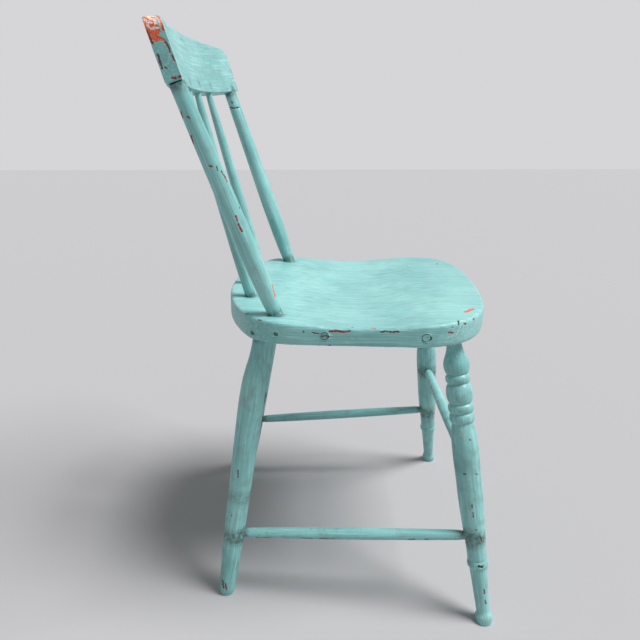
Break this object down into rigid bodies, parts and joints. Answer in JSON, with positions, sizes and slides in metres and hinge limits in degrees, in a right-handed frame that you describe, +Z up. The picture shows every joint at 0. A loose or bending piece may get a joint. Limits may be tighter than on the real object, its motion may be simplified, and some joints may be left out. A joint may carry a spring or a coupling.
{
  "type": "spindle-back kitchen chair",
  "caption": "Plank-seat chair with turned splayed legs, round stretchers, raked posts and spindles and a bent crest rail, in worn, chipped paint.",
  "frame": {"origin": "on the floor, under the middle of the chair's overall box", "axes": "+Z up, -Y the way the chair faces, +X towards the sitter's left"},
  "size_m": [0.4562, 0.4708, 0.8072],
  "materials": {
    "paint_seat": "worn satin paint over solid wood",
    "paint_back": "worn satin paint over solid wood",
    "paint_legs": "worn satin paint over solid wood",
    "painted_dowel": "chipped paint over end grain",
    "painted_nail": "paint over rusty iron"
  },
  "bodies": {
    "root": {"seat": "paint_seat", "crest_rail": "paint_back", "back_post_right": "paint_back", "back_post_left": "paint_back", "spindle_right": "paint_back", "spindle_centre": "paint_back", "spindle_left": "paint_back", "front_leg_right": "paint_legs", "front_leg_left": "paint_legs", "back_leg_right": "paint_legs", "back_leg_left": "paint_legs", "stretcher_front": "paint_legs", "stretcher_back": "paint_legs", "stretcher_right": "paint_legs", "stretcher_left": "paint_legs", "edge_dowel_front": "painted_dowel", "edge_dowel_rear": "painted_dowel", "nail_post": "painted_nail", "nail_back_leg": "painted_nail"}
  },
  "joints": []
}
